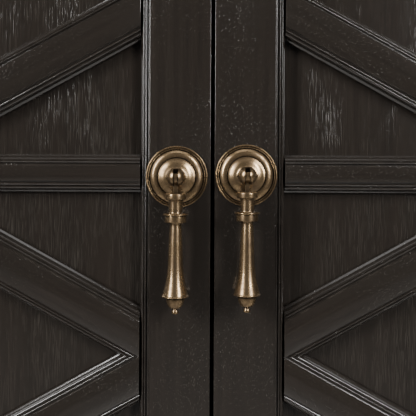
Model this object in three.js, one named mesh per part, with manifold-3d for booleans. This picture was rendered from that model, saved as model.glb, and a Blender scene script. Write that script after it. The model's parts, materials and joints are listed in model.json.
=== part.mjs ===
// Two-door lattice cabinet with a row of drawers. Millimetres, +Z up, the front faces -Y.
import * as THREE from "three";
import { mergeVertices } from "three/addons/utils/BufferGeometryUtils.js";
import Module from "manifold-3d";

const wasm = await Module();
wasm.setup();

// Clearance left between pieces that touch in the real object.
const fit = 0.3;

// Lattice: stacked X modules with a cross bar through each centre.
const slope = 0.55;
const barWidth = 23.4;
const crossBarWidth = 12;
const mouldingWidth = 8.4;
const moduleCount = 5;
const openingHalf = 226.8;
const barHalfRise = (barWidth / 2) * Math.hypot(1, slope);
const moduleHeight = 2 * slope * (openingHalf + barHalfRise / slope);
const openingHeight = moduleCount * moduleHeight;

// Doors.
const stileFace = 46;
const railFace = 54;
const ringWidth = 7.2;
const doorThickness = 26;
const doorWidth = 2 * (openingHalf + ringWidth + stileFace);
const doorHeight = openingHeight + 2 * (ringWidth + railFace);
const meetingGap = 3;
const hingeGap = 4;
const doorGap = 3;
const panelFront = 14;
const panelThickness = 6;
const grooveDepth = 8;
const panelTongue = 7;
const barFace = 1.2;

// Case.
const caseDepth = 430;
const frameWidth = 45;
const frameThickness = 26;
const caseOpening = doorWidth + meetingGap / 2 + hingeGap;
const caseHalf = caseOpening + frameWidth;
const sideThickness = 20;
const innerHalf = caseHalf - sideThickness - fit;
const backThickness = 8;
const backFront = caseDepth - backThickness;
const boardFront = frameThickness + 0.6;
const boardBack = backFront - fit;
const plinthHeight = 90;
const bottomRailTop = 118;
const drawerOpening = 160;
const middleRailBottom = bottomRailTop + drawerOpening;
const middleRailTop = middleRailBottom + 34;
const doorBottom = middleRailTop + doorGap;
const doorTop = doorBottom + doorHeight;
const topRailBottom = doorTop + doorGap;
const caseTop = topRailBottom + 52;
const boardThickness = 22;
const floorTop = doorBottom + 5;
const shelfThickness = 18;
const shelfSetBack = 46;
const shelfCount = 4;
const stopDepth = 20;
const stopDrop = 8;

// Plinth and cornice.
const plinthReach = 12;
const plinthWall = 24;
const footCutHeight = 44;
const corniceBottom = caseTop - 24;
const corniceReach = 38;
const corniceTop = caseTop + 48;
const capThickness = 12;

// Drawers.
const drawerCount = 3;
const dividerFace = 30;
const partitionThickness = 18;
const drawerGap = 2.5;
const drawerFrontThickness = 20;
const drawerBoxDepth = 378;
const drawerBoxHeight = 128;
const drawerWall = 10;
const drawerFloorThickness = 20;
const drawerLift = 0.4;

// Hinges, two per door.
const hingeHeight = 76;
const hingeInset = 170;
const hingeLeaf = 1.3;
const hingeClear = 0.4;
const hingeAxisY = -4.5;
const barrelRadius = 3.6;
const hingePinRadius = 1.5;
const leafFront = -0.5;
const leafBack = 18;

// Drop pulls, set slightly off the stile centres as fitted by hand.
const pullY = -15;
const ballRadius = 7.1;
const tongueWidth = 3;
const tongueHalf = 2.6;
const headRadius = 6;
const slotWidth = 3.8;
const slotClear = 0.5;
const pullPinRadius = 1.25;
const pullPinLength = 15;
const pulls = {
  left: { x: -26.9, drop: 2.3 },
  right: { x: 25.3, drop: 1 },
};

const group = new THREE.Group();
group.name = "apothecary_cabinet";

const finishes = {
  paint: { color: 0x2c2825, roughness: 0.5, metalness: 0 },
  interior: { color: 0x5a4634, roughness: 0.65, metalness: 0 },
  brass: { color: 0x7c6440, roughness: 0.4, metalness: 1 },
  steel: { color: 0x8a8a88, roughness: 0.4, metalness: 1 },
};

function add(name, geometry, finish) {
  const mesh = new THREE.Mesh(geometry, new THREE.MeshStandardMaterial(finishes[finish]));
  mesh.name = name;
  group.add(mesh);
  return mesh;
}

function block(x0, x1, y0, y1, z0, z1) {
  const geometry = new THREE.BoxGeometry(x1 - x0, y1 - y0, z1 - z0);
  return geometry.translate((x0 + x1) / 2, (y0 + y1) / 2, (z0 + z1) / 2);
}

function toManifold(geometry) {
  const clean = geometry.clone();
  clean.deleteAttribute("normal");
  clean.deleteAttribute("uv");
  const merged = mergeVertices(clean, 1e-4);
  return new wasm.Manifold(new wasm.Mesh({
    numProp: 3,
    vertProperties: new Float32Array(merged.attributes.position.array),
    triVerts: new Uint32Array(merged.index.array),
  }));
}

function fromManifold(solid) {
  const mesh = solid.getMesh();
  const geometry = new THREE.BufferGeometry();
  geometry.setAttribute("position", new THREE.BufferAttribute(mesh.vertProperties, 3));
  geometry.setIndex(new THREE.BufferAttribute(mesh.triVerts, 1));
  geometry.computeVertexNormals();
  return geometry;
}

function join(...geometries) {
  return fromManifold(geometries.map(toManifold).reduce((whole, next) => whole.add(next)));
}

function cut(base, ...tools) {
  return fromManifold(tools.map(toManifold).reduce((rest, tool) => rest.subtract(tool), toManifold(base)));
}

// Joins rings of points, all the same length, into one closed solid with flat ends.
function loft(rings) {
  const count = rings[0].length;
  const positions = rings.flat(2);
  const index = [];
  for (let level = 0; level + 1 < rings.length; level += 1) {
    for (let i = 0; i < count; i += 1) {
      const next = (i + 1) % count;
      const a = level * count + i;
      const b = level * count + next;
      index.push(a, b, b + count, a, b + count, a + count);
    }
  }
  const last = (rings.length - 1) * count;
  for (let i = 1; i + 1 < count; i += 1) {
    index.push(0, i + 1, i);
    index.push(last, last + i, last + i + 1);
  }
  const geometry = new THREE.BufferGeometry();
  geometry.setAttribute("position", new THREE.Float32BufferAttribute(positions, 3));
  geometry.setIndex(index);
  geometry.computeVertexNormals();
  return geometry;
}

// Sweeps an [outward, along] profile round a path of [x, z] corners with mitred corners.
// place turns (x, z, along) into a point of the part.
function mitredSweep(path, profile, closed, place) {
  const count = path.length;
  const edgeNormal = (a, b) => {
    const dx = path[b][0] - path[a][0];
    const dz = path[b][1] - path[a][1];
    const length = Math.hypot(dx, dz);
    return [dz / length, -dx / length];
  };
  const rings = path.map((corner, i) => {
    const hasBefore = closed || i > 0;
    const hasAfter = closed || i + 1 < count;
    const before = hasBefore ? edgeNormal((i - 1 + count) % count, i) : edgeNormal(i, i + 1);
    const after = hasAfter ? edgeNormal(i, (i + 1) % count) : before;
    const scale = 1 / (1 + before[0] * after[0] + before[1] * after[1]);
    const mitre = [(before[0] + after[0]) * scale, (before[1] + after[1]) * scale];
    return profile.map(([out, along]) => {
      const [x, z] = [corner[0] + mitre[0] * out, corner[1] + mitre[1] * out];
      return place(x, z, along);
    });
  });
  const width = profile.length;
  const index = [];
  const spans = closed ? count : count - 1;
  for (let i = 0; i < spans; i += 1) {
    const here = i * width;
    const there = ((i + 1) % count) * width;
    for (let j = 0; j < width; j += 1) {
      const k = (j + 1) % width;
      index.push(here + j, there + j, there + k, here + j, there + k, here + k);
    }
  }
  if (!closed) {
    const shape = profile.map(([u, v]) => new THREE.Vector2(u, v));
    const end = (count - 1) * width;
    for (const [a, b, c] of THREE.ShapeUtils.triangulateShape(shape, [])) {
      index.push(a, b, c, end + a, end + c, end + b);
    }
  }
  const geometry = new THREE.BufferGeometry();
  geometry.setAttribute("position", new THREE.Float32BufferAttribute(rings.flat(2), 3));
  geometry.setIndex(index);
  geometry.computeVertexNormals();
  return facingOut(geometry);
}

// Turns the triangles over when the enclosed volume comes out negative.
function facingOut(geometry) {
  const p = geometry.attributes.position;
  const index = geometry.index.array;
  const [a, b, c] = [new THREE.Vector3(), new THREE.Vector3(), new THREE.Vector3()];
  let volume = 0;
  for (let i = 0; i < index.length; i += 3) {
    a.fromBufferAttribute(p, index[i]);
    b.fromBufferAttribute(p, index[i + 1]);
    c.fromBufferAttribute(p, index[i + 2]);
    volume += a.dot(b.cross(c));
  }
  if (volume < 0) {
    for (let i = 0; i < index.length; i += 3) {
      [index[i + 1], index[i + 2]] = [index[i + 2], index[i + 1]];
    }
    geometry.computeVertexNormals();
  }
  return geometry;
}

// Turned piece about Z from [radius, height] pairs running bottom to top.
function turned(profile, segments) {
  const points = profile.map(([r, h]) => new THREE.Vector2(r, h));
  return facingOut(cleanLathe(new THREE.LatheGeometry(points, segments)).rotateX(Math.PI / 2));
}

// Welds the seam and the poles of a lathe and drops the triangles that collapse.
function cleanLathe(geometry) {
  geometry.deleteAttribute("normal");
  geometry.deleteAttribute("uv");
  const merged = mergeVertices(geometry, 1e-4);
  const kept = [];
  const index = merged.index.array;
  for (let i = 0; i < index.length; i += 3) {
    const [a, b, c] = [index[i], index[i + 1], index[i + 2]];
    if (a !== b && b !== c && a !== c) {
      kept.push(a, b, c);
    }
  }
  merged.setIndex(kept);
  merged.computeVertexNormals();
  return merged;
}

// ---- case ----

const sideField = { margin: 55, frontMargin: 45, depth: 6, waistMargin: 10 };

function sideBoard(side) {
  const outer = side * caseHalf;
  const inner = side * (caseHalf - sideThickness);
  const [x0, x1] = [Math.min(outer, inner), Math.max(outer, inner)];
  const board = block(x0, x1, frameThickness + fit, caseDepth, plinthHeight + fit, caseTop);
  const cutIn = outer - side * sideField.depth;
  const [c0, c1] = [Math.min(cutIn, outer + side), Math.max(cutIn, outer + side)];
  const y0 = frameThickness + sideField.frontMargin;
  const y1 = caseDepth - sideField.margin;
  const low = block(c0, c1, y0, y1, plinthHeight + sideField.margin, middleRailBottom);
  const waistTop = middleRailTop + sideField.waistMargin;
  const tall = block(c0, c1, y0, y1, waistTop, corniceBottom - sideField.margin);
  return cut(board, low, tall);
}

add("side_left", sideBoard(-1), "paint");
add("side_right", sideBoard(1), "paint");
add(
  "back_panel",
  block(-innerHalf, innerHalf, backFront, caseDepth, plinthHeight + fit, caseTop),
  "interior",
);

function crossBoard(name, top, thickness, front) {
  add(name, block(-innerHalf, innerHalf, front, boardBack, top - thickness, top), "interior");
}

crossBoard("ceiling_board", caseTop, boardThickness, boardFront);
crossBoard("cupboard_floor", floorTop, boardThickness, boardFront);
crossBoard("drawer_floor", bottomRailTop, drawerFloorThickness, boardFront);

const cupboardHeight = caseTop - boardThickness - floorTop;
const shelfPitch = cupboardHeight / (shelfCount + 1);
for (let i = 1; i <= shelfCount; i += 1) {
  crossBoard(`shelf_${i}`, floorTop + i * shelfPitch, shelfThickness, shelfSetBack);
}

const stopBottom = doorTop - stopDrop;
const stopTop = caseTop - boardThickness - fit;
add(
  "door_stop",
  block(-innerHalf, innerHalf, boardFront, boardFront + stopDepth, stopBottom, stopTop),
  "interior",
);
const catchSize = { width: 34, height: 16, depth: 18, x: 34 };
for (const [name, side] of [["catch_left", -1], ["catch_right", 1]]) {
  const x = side * catchSize.x;
  const top = stopBottom - fit;
  const body = block(
    x - catchSize.width / 2, x + catchSize.width / 2,
    boardFront - 0.1, boardFront + catchSize.depth,
    top - catchSize.height, top,
  );
  add(name, body, "steel");
}

for (const [name, side] of [["frame_stile_left", -1], ["frame_stile_right", 1]]) {
  const x = side * (caseOpening + frameWidth / 2);
  add(
    name,
    block(x - frameWidth / 2, x + frameWidth / 2, 0, frameThickness, plinthHeight + fit, caseTop),
    "paint",
  );
}

function frameRail(name, z0, z1) {
  add(name, block(-caseOpening + fit, caseOpening - fit, 0, frameThickness, z0, z1), "paint");
}

frameRail("frame_rail_top", topRailBottom, caseTop);
frameRail("frame_rail_middle", middleRailBottom, middleRailTop);
frameRail("frame_rail_bottom", plinthHeight + fit, bottomRailTop);

// Plinth: a mitred frame with a moulded top edge, cut away between its bracket feet.
const plinthProfile = [
  [0, 0], [0, 64], [-3, 66], [-3, 70], [-6, 76], [-10, 80], [-11.5, 84], [-11.5, plinthHeight],
  [-plinthWall, plinthHeight], [-plinthWall, 0],
];
const plinthHalf = caseHalf + plinthReach;
const plinthPath = [
  [-plinthHalf, -plinthReach], [plinthHalf, -plinthReach],
  [plinthHalf, caseDepth], [-plinthHalf, caseDepth],
];
const plinthFrame = mitredSweep(plinthPath, plinthProfile, true, (x, y, z) => [x, y, z]);

function footCut(half) {
  const shape = new THREE.Shape();
  shape.moveTo(-half - 14, -1);
  shape.lineTo(-half - 10, 12);
  shape.quadraticCurveTo(-half + 4, 16, -half + 10, footCutHeight - 8);
  shape.lineTo(-half + 30, footCutHeight);
  shape.lineTo(half - 30, footCutHeight);
  shape.lineTo(half - 10, footCutHeight - 8);
  shape.quadraticCurveTo(half - 4, 16, half + 10, 12);
  shape.lineTo(half + 14, -1);
  shape.closePath();
  return shape;
}

function extrudeUpright(shape, depth, steps) {
  const geometry = new THREE.ExtrudeGeometry(shape, { depth, bevelEnabled: false, curveSegments: steps });
  return geometry.translate(0, 0, -depth / 2).rotateX(Math.PI / 2);
}

const footWidth = 110;
const sideFootWidth = 100;
const frontCut = extrudeUpright(footCut(plinthHalf - footWidth), plinthWall * 3, 5)
  .translate(0, -plinthReach, 0);
const sideCutLength = 3 * plinthHalf;
const sideCut = extrudeUpright(footCut(caseDepth / 2 - sideFootWidth), sideCutLength, 5)
  .rotateZ(Math.PI / 2)
  .translate(0, (caseDepth - plinthReach) / 2, 0);
add("plinth", cut(plinthFrame, frontCut, sideCut), "paint");

// Cornice: open at the back, under a thin cap.
const corniceProfile = [
  [fit, corniceBottom], [7, corniceBottom], [8, corniceBottom + 3], [8, corniceBottom + 9],
  [11, corniceBottom + 12], [12, corniceBottom + 22], [15, corniceBottom + 32], [21, corniceBottom + 41],
  [29, corniceBottom + 47], [32, corniceBottom + 48], [32, corniceBottom + 54], [36, corniceBottom + 57],
  [corniceReach, corniceBottom + 62], [corniceReach, corniceTop], [fit, corniceTop],
];
const cornicePath = [[-caseHalf, caseDepth], [-caseHalf, 0], [caseHalf, 0], [caseHalf, caseDepth]];
add("cornice", mitredSweep(cornicePath, corniceProfile, false, (x, y, z) => [x, y, z]), "paint");
const capHalf = caseHalf + corniceReach;
add(
  "cap_board",
  block(-capHalf, capHalf, -corniceReach, caseDepth, corniceTop + fit, corniceTop + fit + capThickness),
  "paint",
);

// ---- drawers ----

const drawerPitch = (2 * caseOpening - (drawerCount - 1) * dividerFace) / drawerCount + dividerFace;
["left", "right"].forEach((side, i) => {
  const x = -caseOpening + (i + 1) * drawerPitch - dividerFace / 2;
  const half = dividerFace / 2;
  const muntin = block(
    x - half, x + half, 0, frameThickness, bottomRailTop + fit, middleRailBottom - fit,
  );
  const partition = block(
    x - partitionThickness / 2, x + partitionThickness / 2, frameThickness - 1, boardBack - fit,
    bottomRailTop + fit, floorTop - boardThickness - fit,
  );
  const notch = block(
    x - half, x + half, frameThickness - 2, frameThickness + fit, middleRailBottom - fit, floorTop,
  );
  add(`drawer_divider_${side}`, cut(join(muntin, partition), notch), "paint");
});

const knobProfile = [
  [0, 0], [9, 0], [9, 1.2], [7.8, 2], [4.6, 3], [4, 5], [4, 9], [5, 10.5], [8.4, 12], [10.8, 14.6],
  [11.5, 17.5], [10.8, 20.4], [8.4, 22.8], [4.8, 24], [0, 24.4],
];

const drawerFrontBottom = bottomRailTop + drawerGap;
const drawerFrontTop = middleRailBottom - drawerGap;
["left", "middle", "right"].forEach((place, i) => {
  const x = (i - 1) * drawerPitch;
  const half = (drawerPitch - dividerFace) / 2 - drawerGap;
  add(
    `drawer_${place}_front`,
    block(x - half, x + half, 0, drawerFrontThickness, drawerFrontBottom, drawerFrontTop),
    "paint",
  );
  const boxHalf = half - 2;
  const y0 = drawerFrontThickness + fit;
  const y1 = y0 + drawerBoxDepth;
  const z0 = bottomRailTop + drawerLift;
  const z1 = z0 + drawerBoxHeight;
  const shell = block(x - boxHalf, x + boxHalf, y0, y1, z0, z1);
  const hollow = block(
    x - boxHalf + drawerWall, x + boxHalf - drawerWall, y0 + drawerWall, y1 - drawerWall,
    z0 + drawerWall, z1 + 10,
  );
  add(`drawer_${place}_box`, cut(shell, hollow), "interior");
  const knob = turned(knobProfile, 24).rotateX(Math.PI / 2);
  knob.translate(x, -fit, (drawerFrontBottom + drawerFrontTop) / 2);
  add(`drawer_${place}_knob`, knob, "brass");
});

// ---- doors ----

const doorMiddle = doorBottom + doorHeight / 2;

// One closed outline of a lattice cell: lines [nx, nz, distance, isBar] with outward normals.
function cellOutline(lines, inset) {
  const moved = lines.map(([nx, nz, d, isBar]) => [nx, nz, isBar ? d - inset : d + 2]);
  return moved.map(([ax, az, ad], i) => {
    const [bx, bz, bd] = moved[(i + 1) % moved.length];
    const det = ax * bz - az * bx;
    return [(ad * bz - az * bd) / det, (ax * bd - ad * bx) / det];
  });
}

// Cells of the lattice, in door coordinates centred on the opening.
function latticeCells() {
  const length = Math.hypot(1, slope);
  const rise = [-slope / length, 1 / length];
  const fall = [slope / length, 1 / length];
  const halfBar = barWidth / 2;
  const halfCross = crossBarWidth / 2;
  const cells = [];
  for (let i = 0; i < moduleCount; i += 1) {
    const z = (i - (moduleCount - 1) / 2) * moduleHeight;
    for (const side of [-1, 1]) {
      for (const up of [-1, 1]) {
        const bar = [-side * slope / length, up / length];
        const lines = [
          [side, 0, openingHalf, false],
          [bar[0], bar[1], bar[1] * z - halfBar, true],
          [0, -up, -up * z - halfCross, true],
        ];
        cells.push(side * up > 0 ? lines : lines.reverse());
      }
    }
  }
  for (let i = 0; i <= moduleCount; i += 1) {
    const z = (i - moduleCount / 2) * moduleHeight;
    const reach = openingHalf * slope;
    const edge = (nx, nz) => [nx, nz, nz * z + reach / length, true];
    const upper = [edge(fall[0], fall[1]), edge(rise[0], rise[1])];
    const lower = [edge(-fall[0], -fall[1]), edge(-rise[0], -rise[1])];
    if (i === 0) {
      cells.push([...upper, [0, -1, openingHeight / 2, false]]);
    } else if (i === moduleCount) {
      cells.push([...lower, [0, 1, openingHeight / 2, false]]);
    } else {
      cells.push([...upper, ...lower]);
    }
  }
  return cells;
}

// [inset, depth] steps of the moulding that runs round each cell.
const cellSteps = [
  [0, 0], [0.3, 3], [1.8, 3.6], [2.6, 2.4], [3.6, 4.2], [4.8, 4], [6.2, 6.4], [6.9, 8.4],
  [mouldingWidth, 9.6], [mouldingWidth, panelFront + 1],
];

function latticeGeometry(x, z) {
  const halfX = openingHalf - fit;
  const halfZ = openingHeight / 2 - fit;
  const slab = block(-halfX, halfX, barFace, panelFront - fit, -halfZ, halfZ);
  const tools = latticeCells().map((lines) => {
    const rings = cellSteps.map(([inset, depth]) => (
      cellOutline(lines, inset).map(([u, v]) => [u, depth, v])
    ));
    return facingOut(loft(rings));
  });
  return cut(slab, ...tools).translate(x, 0, z);
}

// [inward, depth] profile of the moulding inside the door frame.
const ringProfile = [
  [-fit, 0.2], [-0.8, 0.4], [-1, 2.6], [-1.9, 2.4], [-2.6, 1.6], [-3.6, 2], [-4, 3.6], [-4.8, 3.4],
  [-6, 5.4], [-ringWidth, 11],
  [-ringWidth, panelFront - fit], [-fit, panelFront - fit],
];

// Frame member with a groove for the panel along the edge that faces it.
function grooved(x0, x1, z0, z1, grooveBox) {
  return cut(block(x0, x1, 0, doorThickness, z0, z1), grooveBox);
}

function buildDoor(side, label) {
  const middle = side * (meetingGap / 2 + doorWidth / 2);
  const half = doorWidth / 2;
  const grooveFront = panelFront - fit;
  const grooveBack = panelFront + panelThickness + fit;
  for (const [kind, outward] of [["hinge_stile", side], ["meeting_stile", -side]]) {
    const outer = middle + outward * half;
    const inner = middle + outward * (half - stileFace);
    const groove = [inner - outward, inner + outward * grooveDepth];
    const geometry = grooved(
      Math.min(outer, inner), Math.max(outer, inner), doorBottom, doorTop,
      block(Math.min(...groove), Math.max(...groove), grooveFront, grooveBack, doorBottom - 1, doorTop + 1),
    );
    add(`door_${label}_${kind}`, geometry, "paint");
  }
  const railHalf = half - stileFace - fit;
  for (const [kind, up] of [["bottom_rail", -1], ["top_rail", 1]]) {
    const outer = doorMiddle + up * (doorHeight / 2);
    const inner = outer - up * railFace;
    const groove = [inner - up, inner + up * grooveDepth];
    const geometry = grooved(
      middle - railHalf, middle + railHalf, Math.min(outer, inner), Math.max(outer, inner),
      block(
        middle - half, middle + half, grooveFront, grooveBack, Math.min(...groove), Math.max(...groove),
      ),
    );
    add(`door_${label}_${kind}`, geometry, "paint");
  }
  const panelX = half - stileFace + panelTongue;
  const panelZ = doorHeight / 2 - railFace + panelTongue;
  add(
    `door_${label}_panel`,
    block(
      middle - panelX, middle + panelX, panelFront, panelFront + panelThickness,
      doorMiddle - panelZ, doorMiddle + panelZ,
    ),
    "paint",
  );
  const ringX = half - stileFace;
  const ringZ = doorHeight / 2 - railFace;
  const ringPath = [[-ringX, -ringZ], [ringX, -ringZ], [ringX, ringZ], [-ringX, ringZ]];
  add(
    `door_${label}_panel_moulding`,
    mitredSweep(ringPath, ringProfile, true, (x, z, y) => [x + middle, y, z + doorMiddle]),
    "paint",
  );
  add(`door_${label}_lattice`, latticeGeometry(middle, doorMiddle), "paint");
}

buildDoor(-1, "left");
buildDoor(1, "right");

// ---- hinges ----

// Upright cylinder, its axis along Z.
function post(x, y, z0, z1, radius, segments) {
  return new THREE.CylinderGeometry(radius, radius, z1 - z0, segments)
    .rotateX(Math.PI / 2)
    .translate(x, y, (z0 + z1) / 2);
}

// The leaf on the frame carries the outer knuckles and the pin; the door leaf turns on it.
function buildHinge(side, label, level, z) {
  const axisX = side * (caseOpening - hingeGap / 2);
  const third = hingeHeight / 3;
  const [z0, z1] = [z - hingeHeight / 2, z + hingeHeight / 2];
  const leaf = (towards, from, to, y0, y1) => {
    const xs = [axisX + towards * hingeClear, axisX + towards * (hingeClear + hingeLeaf)];
    return block(Math.min(...xs), Math.max(...xs), y0, y1, from, to);
  };
  const tip = new THREE.SphereGeometry(barrelRadius - 0.4, 12, 7).rotateX(Math.PI / 2);
  const frameLeaf = join(
    leaf(side, z0, z1, leafFront, leafBack),
    leaf(side, z0, z0 + third, hingeAxisY, leafFront + 0.5),
    leaf(side, z1 - third, z1, hingeAxisY, leafFront + 0.5),
    post(axisX, hingeAxisY, z0, z0 + third, barrelRadius, 16),
    post(axisX, hingeAxisY, z1 - third, z1, barrelRadius, 16),
    post(axisX, hingeAxisY, z0 + 2, z1 - 2, hingePinRadius, 12),
    tip.clone().translate(axisX, hingeAxisY, z0 - 1.5),
    tip.clone().translate(axisX, hingeAxisY, z1 + 1.5),
  );
  add(`hinge_${label}_${level}_frame_leaf`, frameLeaf, "brass");
  const [k0, k1] = [z0 + third + fit, z1 - third - fit];
  const solidLeaf = join(
    leaf(-side, z0, z1, leafFront, leafBack),
    leaf(-side, k0, k1, hingeAxisY, leafFront + 0.5),
    post(axisX, hingeAxisY, k0, k1, barrelRadius, 16),
  );
  const bore = post(axisX, hingeAxisY, k0 - 1, k1 + 1, hingePinRadius + fit, 12);
  add(`hinge_${label}_${level}_door_leaf`, cut(solidLeaf, bore), "brass");
}

for (const [side, label] of [[-1, "left"], [1, "right"]]) {
  buildHinge(side, label, "lower", doorBottom + hingeInset);
  buildHinge(side, label, "upper", doorTop - hingeInset);
}

// ---- drop pulls ----

// [radius, height off the door] of the ringed rosette, up to the neck of the ball.
const rosetteProfile = [
  [0, fit], [23.1, fit], [23.2, 1.5], [22.4, 2.2], [21.6, 1.5], [21, 2.5], [20.3, 1.8], [20.1, 1.2],
  [19.8, 2.1], [18, 3.5], [15, 4.1], [14.5, 3.2], [14.1, 3.2], [13.8, 4], [11.2, 5.1], [8.2, 6.6],
  [5.9, 8.6], [5.1, 9.8], [0, 9.8],
];

// [radius, height about the pivot] of the turned drop, tip first.
const dropProfile = [
  [0, -99.4], [2.1, -99.4], [2.6, -98.6], [1.7, -95.4], [4, -95.2], [5.1, -94], [6.6, -89.8],
  [6.7, -88.4], [5.7, -88.1], [5.7, -87.4], [9.4, -87.1], [10, -86.4], [9.5, -85.7], [8.3, -81.6],
  [7.1, -76.9], [5.6, -64.5], [4.9, -49], [4.3, -35.4], [4.6, -33.3], [7.6, -33.1], [7.9, -32.2],
  [7.9, -28.5], [8.9, -27.9], [9.3, -27.2], [8.9, -26.6], [5.6, -26.4], [5.1, -24.5], [5.1, -17.6],
  [5.6, -16.6], [7.2, -16.4], [7.6, -15.2], [7.6, -12.9], [6.9, -11.9], [0, -11.8],
];

function buildPull(label, { x, drop }) {
  const z = doorMiddle - drop;
  const plate = turned(rosetteProfile, 40).rotateX(Math.PI / 2);
  const ball = new THREE.SphereGeometry(ballRadius, 24, 14).translate(0, pullY, 0);
  const past = 3 * ballRadius;
  const slotBack = pullY + tongueHalf + slotClear;
  const slot = block(-slotWidth / 2, slotWidth / 2, pullY - past, slotBack, -past, past);
  const hole = new THREE.CylinderGeometry(pullPinRadius + fit, pullPinRadius + fit, 2 * past, 20)
    .rotateZ(Math.PI / 2)
    .translate(0, pullY, 0);
  add(`pull_${label}_rosette`, cut(join(plate, ball), slot, hole).translate(x, 0, z), "brass");

  const pin = new THREE.CylinderGeometry(pullPinRadius, pullPinRadius, pullPinLength, 20)
    .rotateZ(Math.PI / 2)
    .translate(x, pullY, z);
  add(`pull_${label}_pin`, pin, "brass");

  const disc = (radius, segments) => (
    new THREE.CylinderGeometry(radius, radius, tongueWidth, segments).rotateZ(Math.PI / 2)
  );
  // The head fills the front of the slot; its top and back are cut so that it can swing up.
  const above = block(-past, past, -past, past, tongueHalf, past);
  const behind = block(-past, past, 0, past, -past, past);
  const head = cut(disc(headRadius, 36), above, behind);
  const neck = block(-tongueWidth / 2, tongueWidth / 2, -tongueHalf, tongueHalf, -13, 0);
  const bore = hole.clone().translate(0, -pullY, 0);
  const hanging = cut(join(turned(dropProfile, 24), neck, head, disc(tongueHalf, 24)), bore);
  add(`pull_${label}_drop`, hanging.translate(x, pullY, z), "brass");
}

for (const label of ["left", "right"]) {
  buildPull(label, pulls[label]);
}

// The origin sits under the middle of the overall box.
group.position.y = (corniceReach - caseDepth) / 2;

export default group;
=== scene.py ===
import json
import math

import bmesh
import bpy
from mathutils import Euler, Matrix, Vector


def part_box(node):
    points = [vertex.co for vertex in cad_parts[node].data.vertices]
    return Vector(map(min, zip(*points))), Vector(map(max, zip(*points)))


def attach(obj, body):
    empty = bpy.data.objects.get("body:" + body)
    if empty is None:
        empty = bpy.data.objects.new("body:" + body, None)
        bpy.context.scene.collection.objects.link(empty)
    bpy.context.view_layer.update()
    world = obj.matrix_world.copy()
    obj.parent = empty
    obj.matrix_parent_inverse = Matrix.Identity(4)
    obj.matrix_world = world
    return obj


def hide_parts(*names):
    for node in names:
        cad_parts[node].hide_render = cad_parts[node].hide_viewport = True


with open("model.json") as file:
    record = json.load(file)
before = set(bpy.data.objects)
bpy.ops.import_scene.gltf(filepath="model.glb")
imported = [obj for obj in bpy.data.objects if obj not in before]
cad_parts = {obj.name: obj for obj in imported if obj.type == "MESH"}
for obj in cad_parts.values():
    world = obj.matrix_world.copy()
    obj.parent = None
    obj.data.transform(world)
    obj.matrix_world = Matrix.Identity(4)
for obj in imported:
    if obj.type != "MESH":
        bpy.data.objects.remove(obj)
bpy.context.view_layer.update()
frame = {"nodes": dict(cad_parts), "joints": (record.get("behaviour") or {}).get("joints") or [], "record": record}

mm = 0.001
tiny = 1e-6
collection = bpy.context.scene.collection

behaviour = frame["record"]["behaviour"]
bodyOf = {node: body for body, nodes in behaviour["bodies"].items() for node in nodes}
jointAt = {joint["name"]: Vector(joint.get("pos_m", (0, 0, 0))) for joint in frame["joints"]}
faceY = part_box("door_left_hinge_stile")[0].y
forward = Vector((0, -1, 0))

# shader groups


def newGroup(name, inputs, outputs):
    tree = bpy.data.node_groups.new(name, "ShaderNodeTree")
    for label, kind, value in inputs:
        socket = tree.interface.new_socket(label, in_out="INPUT", socket_type=kind)
        if value is not None:
            socket.default_value = value
    for label, kind in outputs:
        tree.interface.new_socket(label, in_out="OUTPUT", socket_type=kind)
    return tree, tree.nodes.new("NodeGroupInput"), tree.nodes.new("NodeGroupOutput")


def addNode(tree, kind, links=None, **values):
    node = tree.nodes.new(kind)
    for key, value in values.items():
        setattr(node, key, value)
    for key, source in (links or {}).items():
        if isinstance(source, bpy.types.NodeSocket):
            tree.links.new(source, node.inputs[key])
        else:
            node.inputs[key].default_value = source
    return node


def mathNode(tree, operation, first, second=0.0, clamp=False):
    node = addNode(tree, "ShaderNodeMath", {0: first, 1: second}, operation=operation, use_clamp=clamp)
    return node.outputs[0]


def rangeNode(tree, value, fromMin, fromMax, toMin=0.0, toMax=1.0):
    node = addNode(tree, "ShaderNodeMapRange", {
        "Value": value, "From Min": fromMin, "From Max": fromMax, "To Min": toMin, "To Max": toMax,
    })
    return node.outputs[0]


def mixColour(tree, factor, first, second):
    # 0, 6, 7 and output 2 are the colour sockets of the Mix node
    return addNode(tree, "ShaderNodeMix", {0: factor, 6: first, 7: second}, data_type="RGBA").outputs[2]


def noiseNode(tree, vector, scale=1.0, detail=2.0, **links):
    return addNode(tree, "ShaderNodeTexNoise", {
        "Vector": vector, "Scale": scale, "Detail": detail, **links,
    })


def stretched(tree, vector, scale):
    node = addNode(tree, "ShaderNodeVectorMath", {0: vector, 1: scale}, operation="MULTIPLY")
    return node.outputs[0]


# scales are per metre, spans are the low and high ends of a mask
grainValues = {
    "warpScale": (14, 14, 3), "warp": (0.004, 0.004, 0),
    "fineScale": (1150, 1150, 26), "fineRoughness": 0.6, "fineShare": 0.55,
    "bandScale": (240, 240, 5), "bandShare": 0.45, "streakSpan": (0.3, 0.7),
    "cloudScale": (26, 26, 9), "cloudSpan": (0.32, 0.68),
    "poreSoftness": 0.08, "clusterSpan": (0.38, 0.6), "fewestPores": 0.25, "streakHeight": 0.35,
}
wearAndHighlightValues = {"edgeSpan": (0.995, 0.86), "breakSpan": (0.4, 0.62), "samples": 4}
patinaAndShadeValues = {"hollowSpan": (0.92, 0.35), "blotchSpan": (0.35, 0.68), "samples": 8}


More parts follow.
